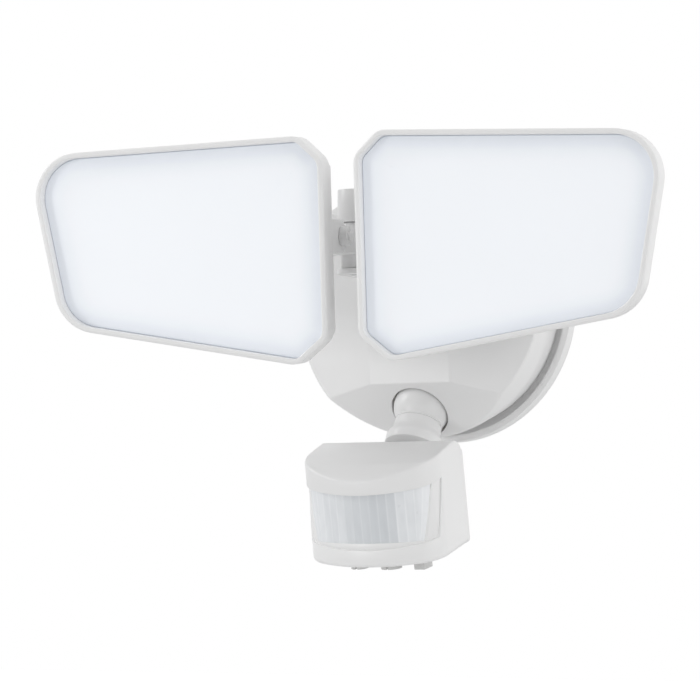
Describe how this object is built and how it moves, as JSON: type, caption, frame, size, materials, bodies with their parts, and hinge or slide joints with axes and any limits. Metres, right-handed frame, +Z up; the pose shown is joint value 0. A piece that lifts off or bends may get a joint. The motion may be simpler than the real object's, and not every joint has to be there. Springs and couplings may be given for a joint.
{
  "type": "motion sensor security light",
  "caption": "White wall-mounted outdoor security light with two adjustable flat LED flood heads on a round faceted canopy and a swivelling motion sensor below.",
  "frame": {"origin": "centre of the wall plate's back face, on the wall and between the two slotted holes", "axes": "+Z up the wall, -Y away from the wall towards the viewer, +X to the viewer's right"},
  "size_m": [0.2938, 0.1706, 0.1973],
  "materials": {
    "white_plastic": "satin, fine moulded grain",
    "painted_aluminium": "white powder coat",
    "painted_steel": "white powder coat",
    "diffuser": "opal white polycarbonate, smooth",
    "sensor_lens": "milky polyethylene, finely segmented",
    "knob_plastic": "satin light grey",
    "inner_plastic": "matte",
    "component_plastic": "matte",
    "seal_rubber": "matte",
    "zinc_steel": "zinc plated",
    "circuit_board": "solder mask",
    "aluminium_board": "white solder mask on aluminium",
    "diode": "phosphor over a white package",
    "ferrite": "dull",
    "capacitor_sleeve": "sleeved"
  },
  "bodies": {
    "canopy": {"canopy_cover": "white_plastic", "wall_plate": "white_plastic", "wall_gasket": "seal_rubber", "mounting_bar": "zinc_steel", "centre_bolt": "zinc_steel", "bolt_plug": "seal_rubber", "cover_screws": "zinc_steel", "lead_grommet": "seal_rubber", "socket_seat": "inner_plastic", "socket_cup": "inner_plastic", "cup_screws": "zinc_steel", "driver_board": "circuit_board", "board_spacers": "inner_plastic", "board_screws": "zinc_steel", "driver_transformer": "ferrite", "driver_capacitors": "capacitor_sleeve", "driver_relay": "component_plastic", "terminal_block": "component_plastic", "head_yoke": "white_plastic", "yoke_screws": "zinc_steel", "left_pan_bolt": "zinc_steel", "right_pan_bolt": "zinc_steel"},
    "left_knuckle_body": {"left_knuckle": "white_plastic"},
    "right_knuckle_body": {"right_knuckle": "white_plastic"},
    "left_head": {"left_bezel": "white_plastic", "left_lens": "diffuser", "left_lens_seal": "seal_rubber", "left_rear_tray": "painted_aluminium", "left_head_screws": "zinc_steel", "left_led_board": "aluminium_board", "left_leds": "diode", "left_reflector": "inner_plastic", "left_tilt_bolt": "painted_steel", "left_tilt_nut": "painted_steel"},
    "right_head": {"right_bezel": "white_plastic", "right_lens": "diffuser", "right_lens_seal": "seal_rubber", "right_rear_tray": "painted_aluminium", "right_head_screws": "zinc_steel", "right_led_board": "aluminium_board", "right_leds": "diode", "right_reflector": "inner_plastic", "right_tilt_bolt": "painted_steel", "right_tilt_nut": "painted_steel"},
    "sensor_arm_body": {"sensor_arm": "white_plastic"},
    "sensor_head": {"sensor_shell": "white_plastic", "sensor_rear_cover": "white_plastic", "sensor_tilt_bolt": "zinc_steel", "sensor_tilt_nut": "zinc_steel", "sensor_screws": "zinc_steel", "lens_frame": "white_plastic", "pir_lens": "sensor_lens", "sensor_board": "circuit_board", "pir_detector": "zinc_steel", "light_cell": "component_plastic", "dial_potentiometers": "component_plastic"},
    "time_dial_body": {"time_dial": "knob_plastic"},
    "range_dial_body": {"range_dial": "knob_plastic"},
    "mode_switch_body": {"mode_switch": "knob_plastic"}
  },
  "joints": [
    {"name": "left_pan", "type": "hinge", "parent": "canopy", "child": "left_knuckle_body", "pos_m": [-0.017, -0.07025, 0.03], "axis": [0, 0, 1], "range_deg": [-50, 3]},
    {"name": "right_pan", "type": "hinge", "parent": "canopy", "child": "right_knuckle_body", "pos_m": [0.017, -0.07025, 0.03], "axis": [0, 0, 1], "range_deg": [-4, 28]},
    {"name": "left_tilt", "type": "hinge", "parent": "left_knuckle_body", "child": "left_head", "pos_m": [-0.01943, -0.09821, 0.027], "axis": [0.9796, 0.2011, 0], "range_deg": [-30, 34]},
    {"name": "right_tilt", "type": "hinge", "parent": "right_knuckle_body", "child": "right_head", "pos_m": [0.02977, -0.09524, 0.027], "axis": [0.9833, 0.1822, 0], "range_deg": [-30, 34]},
    {"name": "sensor_swivel", "type": "hinge", "parent": "canopy", "child": "sensor_arm_body", "pos_m": [0, -0.03305, -0.05013], "axis": [0, -0.4602, -0.8878], "range_deg": [-35, 35]},
    {"name": "sensor_tilt", "type": "hinge", "parent": "sensor_arm_body", "child": "sensor_head", "pos_m": [0, -0.04746, -0.07792], "axis": [1, 0, 0], "range_deg": [-20, 30]},
    {"name": "time_dial_turn", "type": "hinge", "parent": "sensor_head", "child": "time_dial_body", "pos_m": [-0.0168, -0.06588, -0.12198], "axis": [0, -0.1959, 0.9806], "range_deg": [-135, 135]},
    {"name": "range_dial_turn", "type": "hinge", "parent": "sensor_head", "child": "range_dial_body", "pos_m": [0, -0.06588, -0.12198], "axis": [0, -0.1959, 0.9806], "range_deg": [-135, 135]},
    {"name": "mode_slide", "type": "slide", "parent": "sensor_head", "child": "mode_switch_body", "axis": [1, 0, 0], "range_m": [-0.003, 0.003]}
  ]
}
